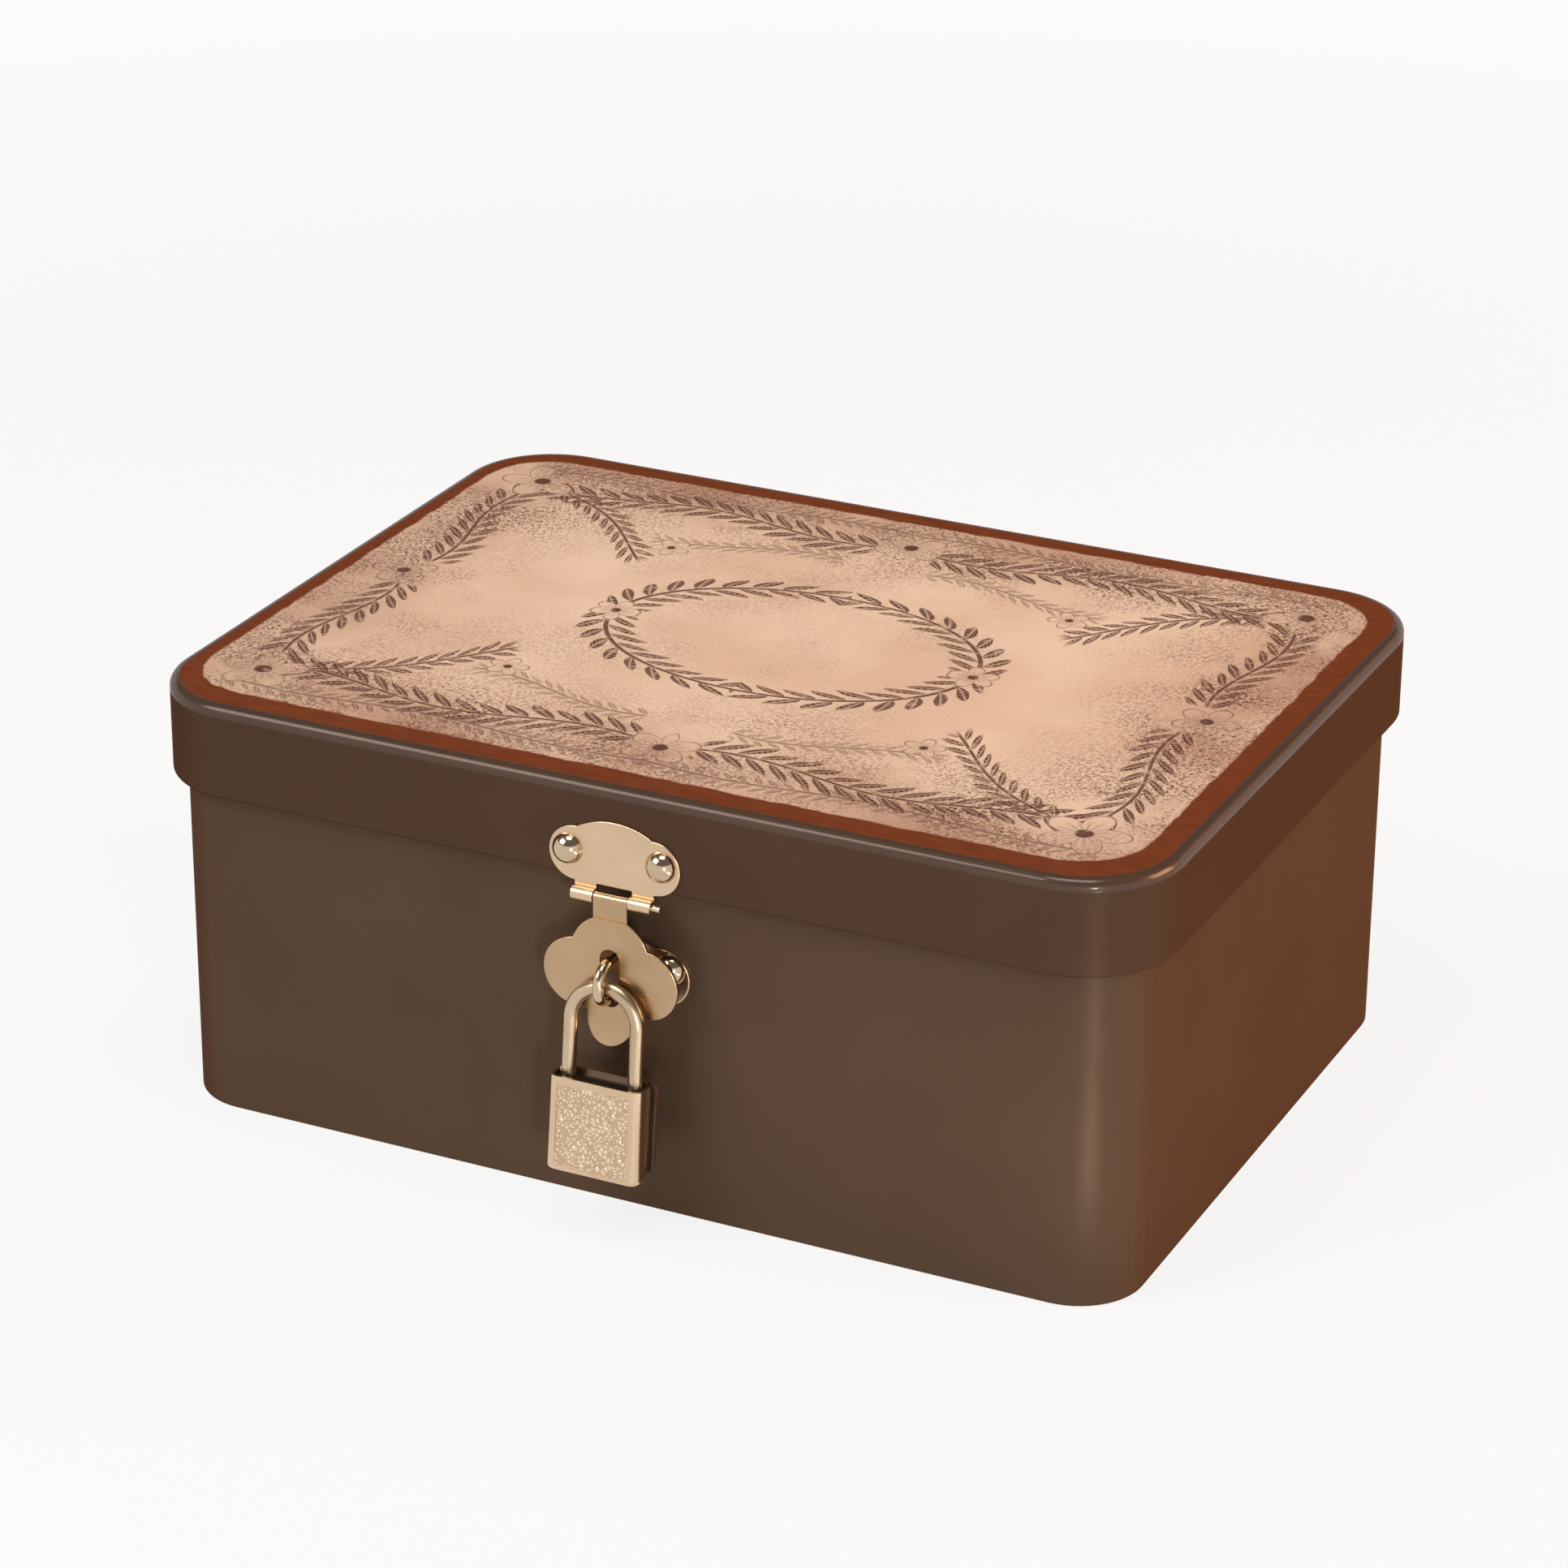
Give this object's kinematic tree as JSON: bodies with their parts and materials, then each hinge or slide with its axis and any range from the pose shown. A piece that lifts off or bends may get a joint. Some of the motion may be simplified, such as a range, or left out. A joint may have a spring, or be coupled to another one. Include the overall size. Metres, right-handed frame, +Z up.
{
  "type": "tin storage box",
  "caption": "Rectangular tin storage box with round corners, an overhanging hinged lid, a lobed front hasp over a staple, and a small padlock hung through it.",
  "frame": {"origin": "under the middle of the whole object, padlock included, on the surface it stands on", "axes": "+X to the right along the front, +Y from the hasp to the hinges, +Z up"},
  "size_m": [0.25, 0.198, 0.1057],
  "materials": {
    "brown_lacquer": "satin dark brown lacquer",
    "champagne_nickel": "polished pale champagne plating",
    "bright_steel": "bright drawn wire",
    "lock_brass": "plain machined",
    "dark_lock_metal": "dark polished"
  },
  "bodies": {
    "box": {"body_wall": "brown_lacquer", "base_panel": "brown_lacquer", "hinge_clip_left": "brown_lacquer", "hinge_clip_right": "brown_lacquer", "hinge_rivets": "champagne_nickel", "staple_plate": "champagne_nickel", "staple": "champagne_nickel", "staple_rivet_left": "champagne_nickel", "staple_rivet_right": "champagne_nickel"},
    "lid": {"lid_shell": "brown_lacquer", "hinge_wire_left": "bright_steel", "hinge_wire_right": "bright_steel", "hasp_plate": "champagne_nickel", "hasp_pin": "champagne_nickel", "hasp_rivet_left": "champagne_nickel", "hasp_rivet_right": "champagne_nickel"},
    "hasp": {"hasp_leaf": "champagne_nickel"},
    "shackle": {"shackle": "champagne_nickel"},
    "padlock": {"lock_front_shell": "champagne_nickel", "lock_back_plate": "champagne_nickel", "lock_core": "dark_lock_metal", "lock_heel_pin": "bright_steel", "latch_spring": "bright_steel", "shackle_spring": "bright_steel"},
    "key_plug": {"key_plug": "lock_brass"},
    "latch": {"latch": "lock_brass"}
  },
  "joints": [
    {"name": "lid_hinge", "type": "hinge", "parent": "box", "child": "lid", "pos_m": [0, 0.0977, 0.0836], "axis": [-1, 0, 0], "range_deg": [0, 105]},
    {"name": "padlock_off", "type": "slide", "parent": "box", "child": "shackle", "axis": [0, -0.866, 0.5], "range_m": [0, 0.12]},
    {"name": "hasp_swing", "type": "hinge", "parent": "lid", "child": "hasp", "pos_m": [0, -0.08661, 0.0794], "axis": [-1, 0, 0], "range_deg": [0, 150]},
    {"name": "case_drop", "type": "slide", "parent": "shackle", "child": "padlock", "axis": [0, -0.1045, -0.9945], "range_m": [0, 0.005], "deforming": ["shackle_spring"]},
    {"name": "plug_turn", "type": "hinge", "parent": "padlock", "child": "key_plug", "pos_m": [0, -0.0904, 0.05928], "axis": [0, -0.1045, -0.9945], "range_deg": [0, 90]},
    {"name": "latch_slide", "type": "slide", "parent": "padlock", "child": "latch", "axis": [1, 0, 0], "range_m": [0, 0.00241], "stiffness_N_per_m": 150, "springref_m": -0.006, "deforming": ["latch_spring"]}
  ],
  "couplings": [
    {"joint": "hasp_swing", "follows": "padlock_off", "rad_per_m": 21.81},
    {"joint": "plug_turn", "follows": "case_drop", "rad_per_m": 314.16},
    {"joint": "latch_slide", "follows": "case_drop", "ratio": 0.48084}
  ]
}
